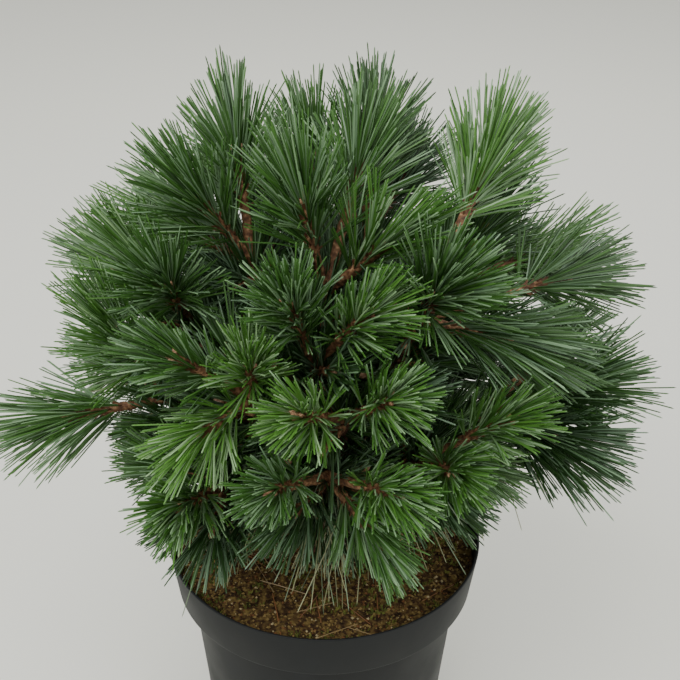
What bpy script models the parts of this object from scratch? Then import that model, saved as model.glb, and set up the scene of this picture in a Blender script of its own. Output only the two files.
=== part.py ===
"""A dwarf white pine growing in a black nursery pot, in metres, with +Z up.

The origin is the centre of the pot's flat underside, and the front of the plant faces -Y.
Limbs are placed by a bearing round the pot's axis in degrees, 0 at the front and 90 at +X,
a distance out from that axis and a height above the underside, both in millimetres.
"""

import math
import random

import bmesh
import bpy
from mathutils import Matrix, Vector
from mathutils.geometry import intersect_point_line

MM = 0.001
GAP = 0.3 * MM

# Pot, a standard 23 cm nursery container
POT_HEIGHT = 200 * MM
POT_RIM_RADIUS = 115 * MM
POT_BASE_RADIUS = 85.5 * MM
POT_WALL = 2 * MM
POT_FLOOR = 3 * MM
BAND_HEIGHT = 37 * MM
BAND_FOOT_RADIUS = 110.5 * MM
BAND_ROUNDING = 2.5 * MM
WALL_TOP_RADIUS = 100.6 * MM
FOOT_CHAMFER = 2 * MM
POT_STEPS = 36
DRAIN_HOLES = 4
DRAIN_RADIUS = 6 * MM
DRAIN_OUT = 62 * MM
DRAIN_SIDES = 8

# Soil, a little lower at the wall than round the trunk
SOIL_EDGE = 187 * MM
SOIL_CROWN = 189 * MM

# Trunk, a short stem with flared roots that leans back and to the right
TRUNK_FOOT = SOIL_CROWN + GAP
TRUNK_HEIGHT = 118 * MM
TRUNK_LEAN = Vector((5, 8, 0)) * MM
TRUNK_BEND = Vector((-2, 0, 0)) * MM
TRUNK_FOOT_RADIUS = 15 * MM
TRUNK_MID_RADIUS = 9.5 * MM
TRUNK_TOP_RADIUS = 6 * MM
FLARE_HEIGHT = 16 * MM
FLARE_LOBES = 5
FLARE_DEPTH = 0.16
TRUNK_SIDES = 10
TRUNK_RINGS = (0, 0.06, 0.16, 0.4, 0.7, 1)

# Boughs, each one tapering limb from the trunk to the stem of its mass
BOUGH_FOOT_RADIUS = 3.9 * MM
BOUGH_TIP_RADIUS = 2.7 * MM
BOUGH_FOOT_RISE = math.radians(20)
BOUGH_SWEEP = 0.9
BOUGH_LIFT = 0.35
BOUGH_SIDES = 6
BOUGH_SEGMENTS = 3
STEM_LENGTH = 16 * MM

# Shoots, a bare twig that swells under its needles and ends in a bud
TWIG_RADIUS = 2.2 * MM
CORE_RADIUS = 4 * MM
BUD_RADIUS = 2.6 * MM
TWIG_SIDES = 3
LEAFY_LENGTH = 46 * MM
MOST_LEAFY = 0.7

# Sprays of needles, each a toothed blade with its root on the twig's axis.
# Its heart and its notches are shares of its length.
NEEDLE_LENGTH = 64 * MM
NEEDLE_SPREAD = 0.08
SPRAY_TEETH = 4
TOOTH_SPREAD = 0.12
SPRAY_FAN = math.radians(42)
SPRAY_HEART = 0.24
SPRAY_NOTCH = 0.52
SPRAY_THICKNESS = 1.5 * MM
SPRAY_ROOT_WIDTH = 2 * MM
SPRAY_SAG = 0.10
SPRAY_ROOT_DEPTH = 2 * MM
SPRAYS_TRIED = 8
SPRAYS_KEPT = 6
# What is tried in turn where a spray has no room, as shares of its angle and of its length
SPRAY_FITS = ((1, 1), (0.6, 1), (1, 0.7), (0.3, 1), (0.6, 0.7))
FIRST_ANGLE = math.radians(14)
LAST_ANGLE = math.radians(66)
GOLDEN_TURN = math.radians(137.5)
SPACE_MARGIN = 1.2 * MM
SIBLING_CLEARANCE = 8 * MM
LIMB_CLEARANCE = 6 * MM
POT_CLEARANCE = 4 * MM
SAMPLES = (0.4, 0.7, 1)

# Each mass: the height where its bough leaves the trunk, its whorl and the buds of its shoots.
# A whorl and a bud are (bearing, distance out, height).
MASSES = {
    "top_left": (292, (-85, 48, 425), [(-108, 60, 492), (-80, 80, 472), (-98, 95, 438)]),
    "top_front": (296, (0, 38, 420), [(-15, 50, 486), (30, 75, 466), (95, 22, 492)]),
    "top_right": (298, (110, 28, 428), [(150, 58, 488), (146, 92, 454)]),
    "top_back": (288, (175, 48, 410), [(-172, 66, 470), (160, 118, 438), (-150, 108, 444)]),
    "upper_front": (276, (-4, 82, 395), [(-10, 110, 450), (13, 114, 444)]),
    "upper_right": (284, (38, 92, 420), [(35, 115, 450), (85, 100, 495), (85, 155, 420), (55, 135, 410)]),
    "upper_right_back": (280, (112, 92, 392), [(112, 166, 400), (114, 116, 428), (134, 148, 392)]),
    "upper_left": (274, (-86, 90, 380), [(-106, 150, 396), (-60, 110, 430), (-90, 118, 420)]),
    "upper_back": (266, (180, 88, 375), [(170, 140, 408), (-168, 142, 402)]),
    "upper_back_left": (258, (-140, 88, 370), [(-135, 138, 412), (-148, 155, 375)]),
    "middle_left": (244, (-82, 108, 326), [(-76, 136, 386), (-102, 148, 326), (-80, 175, 320)]),
    "middle_left_front": (262, (-26, 98, 372), [(-40, 135, 410), (-30, 145, 370), (-20, 122, 412)]),
    "middle_front": (252, (8, 100, 366), [(-5, 150, 400), (16, 145, 405)]),
    "middle_right": (248, (74, 108, 322), [(76, 165, 354), (68, 160, 326), (98, 160, 345)]),
    "middle_back_left": (240, (-124, 104, 326), [(-125, 162, 355), (-118, 155, 312), (-142, 160, 330)]),
    "middle_back_right": (254, (136, 104, 330), [(130, 165, 362), (148, 162, 330), (118, 162, 325)]),
    "middle_back": (236, (178, 104, 326), [(175, 165, 358), (-168, 162, 322), (160, 158, 318)]),
    "low_front": (232, (2, 102, 325), [(-10, 160, 355), (15, 165, 354), (14, 140, 302)]),
    "low_right_front": (238, (40, 104, 326), [(30, 155, 350), (46, 155, 372), (54, 122, 312)]),
    "low_left_front": (224, (-44, 92, 292), [(-35, 150, 315), (-60, 118, 302)]),
    "low_right": (226, (98, 92, 286), [(94, 148, 318), (112, 142, 296)]),
    "low_back_right": (222, (140, 92, 280), [(132, 142, 288), (155, 145, 290)]),
    "low_back_left": (228, (-150, 92, 282), [(-160, 145, 290), (-134, 142, 286)]),
}


def clear_scene():
    for obj in list(bpy.data.objects):
        bpy.data.objects.remove(obj, do_unlink=True)


def place(bearing, out, height):
    """The point at this bearing, distance out and height."""
    angle = math.radians(bearing)
    return Vector((out * math.sin(angle), -out * math.cos(angle), height)) * MM


def material(name, colour, roughness):
    made = bpy.data.materials.new(name)
    made.use_nodes = True
    shader = made.node_tree.nodes["Principled BSDF"]
    shader.inputs["Base Color"].default_value = (*colour, 1)
    shader.inputs["Roughness"].default_value = roughness
    shader.inputs["Metallic"].default_value = 0
    return made


def object_from(bm, name, finish, collection=None):
    mesh = bpy.data.meshes.new(name)
    bm.to_mesh(mesh)
    bm.free()
    mesh.materials.append(finish)
    obj = bpy.data.objects.new(name, mesh)
    (collection or bpy.context.scene.collection).objects.link(obj)
    return obj


def smooth(obj, angle=math.radians(40)):
    obj.data.shade_smooth()
    obj.data.set_sharp_from_angle(angle=angle)


def ring_points(centre, direction, radius, sides):
    """Points round a circle that faces along a direction."""
    facing = direction.to_track_quat("Z", "Y").to_matrix()
    found = []
    for i in range(sides):
        angle = 2 * math.pi * i / sides
        found.append(centre + facing @ Vector((math.cos(angle), math.sin(angle), 0)) * radius)
    return found


def loft(rings, tip=None):
    """A closed skin over rings of points, with a flat foot and a flat or a pointed end."""
    bm = bmesh.new()
    loops = [[bm.verts.new(point) for point in ring] for ring in rings]
    sides = len(loops[0])
    bm.faces.new(reversed(loops[0]))
    for lower, upper in zip(loops, loops[1:]):
        for i in range(sides):
            j = (i + 1) % sides
            bm.faces.new((lower[i], lower[j], upper[j], upper[i]))
    if tip is None:
        bm.faces.new(loops[-1])
    else:
        point = bm.verts.new(tip)
        for i in range(sides):
            bm.faces.new((loops[-1][i], loops[-1][(i + 1) % sides], point))
    return bm


def turned(name, profile, steps, finish):
    """A solid of revolution, from (radius, height) points that run down its outer side."""
    bm = bmesh.new()
    verts = [bm.verts.new((radius, 0, height)) for radius, height in profile]
    for a, b in zip(verts, verts[1:]):
        bm.edges.new((a, b))
    obj = object_from(bm, name, finish)
    screw = obj.modifiers.new("Turn", "SCREW")
    screw.steps = screw.render_steps = steps
    screw.use_merge_vertices = True
    screw.merge_threshold = 0.00001
    smooth(obj)
    return obj


def wall_radius(height):
    """The outer radius of the plain wall under the band."""
    share = height / (POT_HEIGHT - BAND_HEIGHT)
    return POT_BASE_RADIUS + (WALL_TOP_RADIUS - POT_BASE_RADIUS) * share


def band_radius(height):
    """The outer radius of the band."""
    share = 1 - (POT_HEIGHT - height) / BAND_HEIGHT
    return BAND_FOOT_RADIUS + (POT_RIM_RADIUS - BAND_FOOT_RADIUS) * share


def make_pot(finish):
    band_foot = POT_HEIGHT - BAND_HEIGHT
    ledge = band_foot + POT_WALL
    lip = 0.8 * MM
    profile = [
        (0, POT_FLOOR),
        (wall_radius(POT_FLOOR) - POT_WALL, POT_FLOOR),
        (wall_radius(ledge) - POT_WALL, ledge),
        (band_radius(ledge) - POT_WALL, ledge),
        (POT_RIM_RADIUS - POT_WALL, POT_HEIGHT - lip),
        (POT_RIM_RADIUS - POT_WALL + lip, POT_HEIGHT),
        (POT_RIM_RADIUS - lip, POT_HEIGHT),
        (POT_RIM_RADIUS, POT_HEIGHT - lip),
        (band_radius(band_foot + BAND_ROUNDING), band_foot + BAND_ROUNDING),
        (band_radius(band_foot) - BAND_ROUNDING, band_foot),
        (wall_radius(band_foot), band_foot),
        (wall_radius(FOOT_CHAMFER), FOOT_CHAMFER),
        (POT_BASE_RADIUS - FOOT_CHAMFER, 0),
        (0, 0),
    ]
    pot = turned("pot", profile, POT_STEPS, finish)
    cut = pot.modifiers.new("Drain", "BOOLEAN")
    cut.operation = "DIFFERENCE"
    cut.object = drain_cutter()
    return pot


def drain_cutter():
    """Short rods where the floor's drain holes go."""
    bm = bmesh.new()
    for i in range(DRAIN_HOLES):
        spot = place(360 * i / DRAIN_HOLES, DRAIN_OUT / MM, POT_FLOOR / 2 / MM)
        bmesh.ops.create_cone(
            bm,
            cap_ends=True,
            segments=DRAIN_SIDES,
            radius1=DRAIN_RADIUS,
            radius2=DRAIN_RADIUS,
            depth=4 * POT_FLOOR,
            matrix=Matrix.Translation(spot),
        )
    cutter = object_from(bm, "drain_cutter", material("cutter", (0.5, 0.5, 0.5), 0.5))
    cutter.hide_render = True
    cutter.display_type = "WIRE"
    return cutter


def make_soil(finish):
    foot = POT_FLOOR + GAP
    band_foot = POT_HEIGHT - BAND_HEIGHT + POT_WALL + GAP
    inset = POT_WALL + GAP * 1.2
    profile = [
        (0, SOIL_CROWN),
        (TRUNK_FOOT_RADIUS * 2, SOIL_CROWN),
        (band_radius(SOIL_EDGE) * 0.8, SOIL_EDGE),
        (band_radius(SOIL_EDGE) - inset, SOIL_EDGE),
        (band_radius(band_foot) - inset, band_foot),
        (wall_radius(band_foot) - inset, band_foot),
        (wall_radius(foot) - inset, foot),
        (0, foot),
    ]
    return turned("soil", profile, POT_STEPS, finish)


def trunk_axis(height):
    """The trunk's centre at a height above the pot's underside."""
    share = (height - TRUNK_FOOT) / TRUNK_HEIGHT
    bend = TRUNK_BEND * math.sin(math.pi * share)
    return Vector((0, 0, height)) + TRUNK_LEAN * share + bend


def trunk_radius(height):
    share = (height - TRUNK_FOOT) / TRUNK_HEIGHT
    flare = math.exp(-(height - TRUNK_FOOT) / FLARE_HEIGHT * 2)
    plain = TRUNK_MID_RADIUS + (TRUNK_TOP_RADIUS - TRUNK_MID_RADIUS) * share
    return plain + (TRUNK_FOOT_RADIUS - TRUNK_MID_RADIUS) * flare


def trunk_side(height, across):
    """How far the trunk's faceted side lies from its axis in a level direction."""
    facet = 2 * math.pi / TRUNK_SIDES
    turn = math.atan2(across.y, across.x) % facet - facet / 2
    return trunk_radius(height) * math.cos(facet / 2) / math.cos(turn)


def make_trunk(finish):
    rings = []
    for share in TRUNK_RINGS:
        height = TRUNK_FOOT + TRUNK_HEIGHT * share
        ring = []
        lobes = FLARE_DEPTH * max(0, 1 - share * TRUNK_HEIGHT / (2 * FLARE_HEIGHT))
        for i in range(TRUNK_SIDES):
            angle = 2 * math.pi * i / TRUNK_SIDES
            radius = trunk_radius(height) * (1 + lobes * math.cos(FLARE_LOBES * angle))
            ring.append(trunk_axis(height) + Vector((math.cos(angle), math.sin(angle), 0)) * radius)
        rings.append(ring)
    trunk = object_from(loft(rings), "trunk", finish)
    smooth(trunk, math.radians(60))
    return trunk


def curve_point(start, end, leave, arrive, share):
    """A point of the smooth curve that leaves one end and arrives at the other as told."""
    s = share
    return (
        start * (2 * s**3 - 3 * s**2 + 1)
        + leave * (s**3 - 2 * s**2 + s)
        + end * (3 * s**2 - 2 * s**3)
        + arrive * (s**3 - s**2)
    )


class Bough:
    """Where one bough runs, from the trunk's side to the stem of its mass."""

    def __init__(self, foot_height, whorl):
        self.whorl = place(*whorl)
        height = foot_height * MM
        axis = trunk_axis(height)
        across = (self.whorl - axis).to_2d().normalized().to_3d()
        lift = Vector((0, 0, 1))
        self.leave = across * math.cos(BOUGH_FOOT_RISE) + lift * math.sin(BOUGH_FOOT_RISE)
        off = trunk_side(height, across) + GAP + BOUGH_FOOT_RADIUS * math.sin(BOUGH_FOOT_RISE)
        self.foot = axis + across * off
        reach = self.whorl - self.foot
        self.arrive = (reach.normalized() + lift * BOUGH_LIFT).normalized()
        self.tip = self.whorl - self.arrive * STEM_LENGTH

    def at(self, share):
        pull = (self.tip - self.foot).length * BOUGH_SWEEP
        return curve_point(self.foot, self.tip, self.leave * pull, self.arrive * pull, share)

    def points(self):
        return [self.at(i / BOUGH_SEGMENTS) for i in range(BOUGH_SEGMENTS + 1)]


def tube_rings(points, first, last, radii, sides):
    """Rings along a line of points, the end ones square to the directions given."""
    rings = []
    for i, point in enumerate(points):
        if i == 0:
            direction = first
        elif i == len(points) - 1:
            direction = last
        else:
            direction = points[i + 1] - points[i - 1]
        rings.append(ring_points(point, direction, radii[i], sides))
    return rings


def make_bough(name, bough, finish):
    points = bough.points()
    radii = []
    for i in range(len(points)):
        share = i / BOUGH_SEGMENTS
        radii.append(BOUGH_FOOT_RADIUS + (BOUGH_TIP_RADIUS - BOUGH_FOOT_RADIUS) * share)
    rings = tube_rings(points, bough.leave, bough.arrive, radii, BOUGH_SIDES)
    obj = object_from(loft(rings), "bough_" + name, finish)
    smooth(obj, math.radians(60))
    return obj


def shoot_loft(whorl, bud):
    """A twig from the whorl, its swelling under the needles, and its pointed bud."""
    along = bud - whorl
    bare = max(1 - MOST_LEAFY, 1 - LEAFY_LENGTH / along.length)
    stations = (
        (0, TWIG_RADIUS),
        (bare * 0.9, TWIG_RADIUS),
        (bare + (1 - bare) * 0.35, CORE_RADIUS),
        (0.96, BUD_RADIUS),
    )
    rings = [ring_points(whorl + along * at, along, radius, TWIG_SIDES) for at, radius in stations]
    return loft(rings, tip=bud + along.normalized() * BUD_RADIUS * 2)


def spray_outline(length, rng):
    """The blade's teeth and notches round its heart, flat in X and Y, with the root at the origin."""
    heart = SPRAY_HEART * length
    reach = length - heart
    half = SPRAY_ROOT_WIDTH / 2
    outline = [Vector((0, -half, 0))]
    for tooth in range(SPRAY_TEETH):
        angle = SPRAY_FAN * (tooth / (SPRAY_TEETH - 1) - 0.5)
        tip = reach * (1 - rng.random() * TOOTH_SPREAD)
        outline.append(Vector((heart + tip * math.cos(angle), tip * math.sin(angle), 0)))
        if tooth < SPRAY_TEETH - 1:
            between = angle + SPRAY_FAN / (SPRAY_TEETH - 1) / 2
            notch = reach * (SPRAY_NOTCH - SPRAY_HEART)
            outline.append(
                Vector((heart + notch * math.cos(between), notch * math.sin(between), 0))
            )
    outline.append(Vector((0, half, 0)))
    return outline, Vector((heart, 0, 0))


def spray_mesh(outline, heart, turn, root):
    """A thin blade: each edge of the outline is joined to a high point on both sides of its heart."""
    bm = bmesh.new()
    high = bm.verts.new(root + turn @ (heart + Vector((0, 0, SPRAY_THICKNESS / 2))))
    low = bm.verts.new(root + turn @ (heart - Vector((0, 0, SPRAY_THICKNESS / 2))))
    verts = [bm.verts.new(root + turn @ point) for point in outline]
    for i, vert in enumerate(verts):
        after = verts[(i + 1) % len(verts)]
        bm.faces.new((vert, after, high))
        bm.faces.new((after, vert, low))
    return bm


def distance_to(segment, point):
    nearest, share = intersect_point_line(point, *segment)
    if share <= 0:
        return (point - segment[0]).length
    if share >= 1:
        return (point - segment[1]).length
    return (point - nearest).length


def clear_of_pot(point):
    out = point.to_2d().length
    if out < POT_RIM_RADIUS + POT_CLEARANCE:
        return point.z > POT_HEIGHT + POT_CLEARANCE or (
            out < POT_RIM_RADIUS - 3 * POT_CLEARANCE and point.z > SOIL_CROWN + POT_CLEARANCE
        )
    return True


class Space:
    """Which mass owns which part of the crown: the one that the nearest shoot belongs to."""

    def __init__(self, boughs):
        self.shoots = {}
        self.limbs = []
        for name, (_, _, buds) in MASSES.items():
            for i, bud in enumerate(buds):
                self.shoots[name, i] = (boughs[name].whorl, place(*bud))
            points = boughs[name].points() + [boughs[name].whorl]
            self.limbs += list(zip(points, points[1:]))
        foot = trunk_axis(TRUNK_FOOT)
        self.limbs.append((foot, trunk_axis(TRUNK_FOOT + TRUNK_HEIGHT)))

    def holds(self, key, point):
        """Whether a point is free for this shoot's needles."""
        if not clear_of_pot(point):
            return False
        own = distance_to(self.shoots[key], point)
        for other, line in self.shoots.items():
            if other == key:
                continue
            sibling = other[0] == key[0]
            least = SIBLING_CLEARANCE if sibling else own + SPACE_MARGIN
            if distance_to(line, point) < least:
                return False
        return all(distance_to(limb, point) > LIMB_CLEARANCE for limb in self.limbs)


def spray_samples(outline, heart, turn, root):
    """Points along each tooth, from the notches out to its tip."""
    found = []
    for tip in outline[1:-1:2]:
        for share in SAMPLES:
            found.append(root + turn @ heart.lerp(tip, share))
    return found


def shoot_sprays(key, space, rng):
    """The blades of one shoot, set round it in a golden spiral from the bud back."""
    whorl, bud = space.shoots[key]
    along = (bud - whorl).normalized()
    leafy = min(LEAFY_LENGTH, (bud - whorl).length * MOST_LEAFY)
    side = along.orthogonal().normalized()
    start = rng.uniform(0, 2 * math.pi)
    made = []
    for i in range(SPRAYS_TRIED):
        share = i / (SPRAYS_TRIED - 1)
        off = FIRST_ANGLE + (LAST_ANGLE - FIRST_ANGLE) * share**0.7
        around = Matrix.Rotation(start + i * GOLDEN_TURN, 3, along) @ side
        root = bud - along * (leafy * share + SPRAY_ROOT_DEPTH)
        length = NEEDLE_LENGTH * (1 + rng.uniform(-NEEDLE_SPREAD, NEEDLE_SPREAD))
        for narrower, shorter in SPRAY_FITS:
            direction = along * math.cos(off * narrower) + around * math.sin(off * narrower)
            direction = (direction - Vector((0, 0, SPRAY_SAG))).normalized()
            face = (along - direction * along.dot(direction)).normalized()
            turn = Matrix((direction, face.cross(direction), face)).transposed()
            outline, heart = spray_outline(length * shorter, rng)
            if all(space.holds(key, p) for p in spray_samples(outline, heart, turn, root)):
                made.append(spray_mesh(outline, heart, turn, root))
                break
        if len(made) == SPRAYS_KEPT:
            break
    return made


def islands(bm):
    """The connected groups of faces."""
    found = []
    left = set(bm.faces)
    while left:
        group = [left.pop()]
        for face in group:
            for edge in face.edges:
                for other in edge.link_faces:
                    if other in left:
                        left.remove(other)
                        group.append(other)
        found.append(group)
    return found


def box_size(faces):
    points = [vert.co for face in faces for vert in face.verts]
    return sum(max(p[i] for p in points) - min(p[i] for p in points) for i in range(3))


def one_body(mesh):
    """Keeps the outer skin: a sealed hollow is filled, and a loose scrap is dropped."""
    bm = bmesh.new()
    bm.from_mesh(mesh)
    bmesh.ops.triangulate(bm, faces=bm.faces)
    groups = sorted(islands(bm), key=box_size)
    loose = [face for group in groups[:-1] for face in group]
    bmesh.ops.delete(bm, geom=loose, context="FACES")
    bm.to_mesh(mesh)
    bm.free()


def fused(obj, collection):
    """Joins every object of a collection to this one, then removes them."""
    union = obj.modifiers.new("Fuse", "BOOLEAN")
    union.operation = "UNION"
    union.operand_type = "COLLECTION"
    union.collection = collection
    graph = bpy.context.evaluated_depsgraph_get()
    mesh = bpy.data.meshes.new_from_object(obj.evaluated_get(graph))
    obj.modifiers.clear()
    obj.data = mesh
    for part in list(collection.objects):
        bpy.data.objects.remove(part, do_unlink=True)
    bpy.data.collections.remove(collection)
    one_body(mesh)


def make_mass(name, bough, space, finish, seed):
    """One mass: a stem that meets its bough, the shoots of its whorl, and their sprays."""
    rng = random.Random(seed)
    pieces = bpy.data.collections.new("pieces_" + name)
    bpy.context.scene.collection.children.link(pieces)
    foot = bough.tip + bough.arrive * GAP
    knuckle = bough.whorl + bough.arrive * TWIG_RADIUS
    radii = (BOUGH_TIP_RADIUS, TWIG_RADIUS * 1.2)
    rings = tube_rings([foot, knuckle], bough.arrive, bough.arrive, radii, BOUGH_SIDES)
    obj = object_from(loft(rings), "mass_" + name, finish)
    for key, (whorl, bud) in space.shoots.items():
        if key[0] != name:
            continue
        object_from(shoot_loft(whorl, bud), "twig", finish, pieces)
        for bm in shoot_sprays(key, space, rng):
            object_from(bm, "spray", finish, pieces)
    fused(obj, pieces)
    return obj


def main():
    clear_scene()
    plastic = material("black_plastic", (0.030, 0.033, 0.033), 0.55)
    earth = material("potting_soil", (0.060, 0.035, 0.020), 0.95)
    bark = material("pine_bark", (0.140, 0.070, 0.040), 0.85)
    needles = material("pine_needles", (0.045, 0.130, 0.050), 0.5)
    make_pot(plastic)
    make_soil(earth)
    make_trunk(bark)
    boughs = {name: Bough(height, whorl) for name, (height, whorl, _) in MASSES.items()}
    space = Space(boughs)
    for seed, (name, bough) in enumerate(boughs.items()):
        make_bough(name, bough, bark)
        make_mass(name, bough, space, needles, seed)


main()
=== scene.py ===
"""The looks of a dwarf white pine in its nursery pot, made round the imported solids.

Limbs are placed as in the part's source: by a bearing round the pot's axis in degrees, 0 at
the front and 90 at +X, a distance out from that axis and a height above the pot's underside,
both in millimetres. The source's rule is written again here and carried on to finer twigs.
"""

import math

import bpy
import numpy as np
from mathutils import Matrix, Vector, noise


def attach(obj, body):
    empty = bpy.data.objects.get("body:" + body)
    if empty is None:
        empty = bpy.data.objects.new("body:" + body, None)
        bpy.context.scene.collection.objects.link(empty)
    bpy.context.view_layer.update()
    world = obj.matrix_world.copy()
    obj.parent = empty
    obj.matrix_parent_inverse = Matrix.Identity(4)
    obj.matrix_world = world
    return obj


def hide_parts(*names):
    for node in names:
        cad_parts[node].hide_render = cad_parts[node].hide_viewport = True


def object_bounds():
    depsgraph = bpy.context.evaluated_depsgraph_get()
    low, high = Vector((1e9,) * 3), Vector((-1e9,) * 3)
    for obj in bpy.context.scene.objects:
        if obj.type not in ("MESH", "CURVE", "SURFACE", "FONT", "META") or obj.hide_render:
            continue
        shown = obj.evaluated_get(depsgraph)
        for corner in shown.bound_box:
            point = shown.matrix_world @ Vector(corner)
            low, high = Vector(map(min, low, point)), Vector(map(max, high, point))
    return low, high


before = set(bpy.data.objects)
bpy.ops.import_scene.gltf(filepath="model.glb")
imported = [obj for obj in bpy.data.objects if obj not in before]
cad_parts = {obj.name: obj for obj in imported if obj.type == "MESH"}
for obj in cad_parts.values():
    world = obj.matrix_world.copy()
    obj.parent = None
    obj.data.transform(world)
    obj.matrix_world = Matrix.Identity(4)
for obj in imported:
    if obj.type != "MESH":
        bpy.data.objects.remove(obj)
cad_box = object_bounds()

MM = 0.001
UP = np.array([0.0, 0.0, 1.0])
LEVEL = np.array([1, 1, 0])
NEARLY_UPRIGHT = 0.9

# Pot
POT_HEIGHT = 200 * MM
POT_RIM_RADIUS = 115 * MM
POT_BASE_RADIUS = 85.5 * MM
POT_WALL = 2 * MM
POT_FLOOR = 3 * MM
BAND_HEIGHT = 37 * MM
BAND_FOOT_RADIUS = 110.5 * MM
BAND_ROUNDING = 2.5 * MM
WALL_TOP_RADIUS = 100.6 * MM
FOOT_CHAMFER = 2 * MM
LIP = 1 * MM
POT_SIDES = 128
SHARP_FROM = math.radians(35)
DRAIN_HOLES = 4
DRAIN_RADIUS = 6 * MM
DRAIN_OUT = 62 * MM
DRAIN_SIDES = 32

# Soil, as a relief over the filled pot
SOIL_EDGE = 187 * MM
SOIL_CROWN = 189 * MM
SOIL_RELIEF = 2.6 * MM
HIGHEST_LUMP = 1.2
SOIL_LUMP = 14 * MM
# How its finer lumps fade, how much finer each kind is than the last, and how many kinds
SOIL_OCTAVES = (0.8, 2.2, 4)
SOIL_RINGS = 70
SOIL_SPOKES = 200
SOIL_GAP = 0.4 * MM
HIDDEN_GAP = 1 * MM
# Where the soil draws in to pass the pot's inner ledge: a share of its width, and a height
LEDGE_SHARE = 0.94
LEDGE_RISE = 3 * MM

# What lies on the soil. A crumb's kinds are compost, ochre grit, bark chip and pale granule.
CLEAR_OF_TRUNK = 0.02
CRUMBS = 5200
CRUMB_SHARES = (0.32, 0.46, 0.14, 0.08)
CRUMB_SIZES = (0.45 * MM, 1.35 * MM)
CRUMB_STRETCH = (0.7, 1.3)
CRUMB_UNEVENNESS = 0.1 * MM
CRUMB_LIFT = 0.3 * MM
CRUMB_FACES = np.array(
    [(0, 2, 4), (2, 1, 4), (1, 3, 4), (3, 0, 4), (2, 0, 5), (1, 2, 5), (3, 1, 5), (0, 3, 5)]
)
MOSS_SPOTS = 1300
MOSS_PATCH = 24 * MM
BARE_BELOW = -0.02
MOSS_STEMS = 4
MOSS_SPREAD = 1.1 * MM
MOSS_LEAN = 0.45
MOSS_HEIGHTS = (1.6, 3.4)
# A moss stem's foot, belly and tip: how far up it they lie, and their radii
MOSS_RINGS = np.array([0, 0.6, 1])
MOSS_RADII = np.array([0.5, 0.55, 0.08]) * MM
MOSS_SIDES = 3
LITTER = 60
LITTER_LENGTHS = (20, 48)
LITTER_LIFT = 1 * MM
LITTER_TILT = (-0.02, 0.06)
LITTER_BOW = np.array([0.03, 0.03, 0.006])

# Trunk
TRUNK_FOOT = SOIL_CROWN
TRUNK_HEIGHT = 118 * MM
TRUNK_LEAN = np.array([5, 8, 0]) * MM
TRUNK_BEND = np.array([-2, 0, 0]) * MM
TRUNK_FOOT_RADIUS = 15 * MM
TRUNK_MID_RADIUS = 9.5 * MM
TRUNK_TOP_RADIUS = 6 * MM
FLARE_HEIGHT = 16 * MM
FLARE_LOBES = 5
FLARE_DEPTH = 0.16
TRUNK_SIDES = 30
TRUNK_STEPS = 30
TRUNK_SUBDIVISION = 2
BARK_RELIEF = 1.4 * MM
BARK_PLATE = 7 * MM

# Boughs and twigs
BOUGH_FOOT_RADIUS = 3.9 * MM
BOUGH_TIP_RADIUS = 2.7 * MM
BOUGH_FOOT_RISE = math.radians(20)
BOUGH_SWEEP = 0.9
BOUGH_LIFT = 0.35
BOUGH_SINK = 3 * MM
BOUGH_STEPS = 40
BOUGH_SIDES = 12
COLLAR_DEPTH = 1.6 * MM
COLLAR_FADE = 14
STEM_LENGTH = 16 * MM
STEM_STEPS = 4
TWIG_RADIUS = 2.9 * MM
TWIG_FOOT = 1.1
TWIG_TAPER = 0.25
FINE_THICKNESS = 0.85
TWIG_STEPS = 34
FINE_STEPS = 16
TWIG_SIDES = 9
TWIG_SINK = 0.02
SCALE_RELIEF = 0.8 * MM
SCALE_SPACING = 2.4 * MM
SCALE_TURNS = 3
SCALE_SHARPNESS = 1.5

# Buds: one at a shoot's end, with smaller ones round it on the longer shoots
BUD_RADIUS = 2.5 * MM
BUD_LENGTH = 8.5 * MM
BUD_STEPS = 7
BUD_SIDES = 8
# A bud's outline: where it starts on a sine's arch, how much of it follows, and its fullness
BUD_ARCH_START = 0.12
BUD_ARCH_SHARE = 0.86
BUD_FULLNESS = 0.8
SIDE_BUDS = 3
SIDE_BUD_SIZE = 0.62
SIDE_BUD_OUT = 0.8
SIDE_BUD_LEAN = 0.5
BUD_SCALE_SPACING = 1.5 * MM
BUD_SCALE_RELIEF = 0.22 * MM

# Needles: their size, the width drawn a little coarser than the real 0.8 mm so that it shows
NEEDLE_LENGTH = 66 * MM
NEEDLE_WIDTH = 1.15 * MM
OLD_NEEDLE_WIDTH = 0.8 * MM
# Where a needle's rings lie along it and how wide it is there: root, sheath, bend, blunt end
NEEDLE_RINGS = ((0, 1.1), (0.08, 0.9), (0.52, 1.0), (0.975, 0.85))

# Bundles of five, how many a shoot has and how much of it they cover
NEEDLES_IN_BUNDLE = 5
BUNDLES = 62
FINE_BUNDLES = 24
BUNDLES_SPREAD = 0.18
LEAFY_LENGTH = 37 * MM
MOST_LEAFY = 0.7
CROWDING = 1.25

# How bundles stand off their shoot, from its bud back
FIRST_ANGLE = math.radians(9)
LAST_ANGLE = math.radians(44)
ANGLE_CURVE = 0.7
ANGLE_JITTER = math.radians(10)
GOLDEN_TURN = math.radians(137.5)
BUNDLE_OPENING = 0.05
ROOT_OUT = 0.8

# Shares of a needle's full length: at the back of a shoot, on fine shoots, and how both vary
BACK_LENGTH = 0.86
FINE_LENGTH = 0.72
BUNDLE_SPREAD = 0.17
NEEDLE_SPREAD = 0.03

# How needles sag and bow, as shares of their length, and where the low crown begins
NEEDLE_SAG = 0.07
LOW_SAG = 0.1
NEEDLE_BOW = 0.045
LOW_CROWN = 330 * MM
LOW_CROWN_DEPTH = 100 * MM

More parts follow.
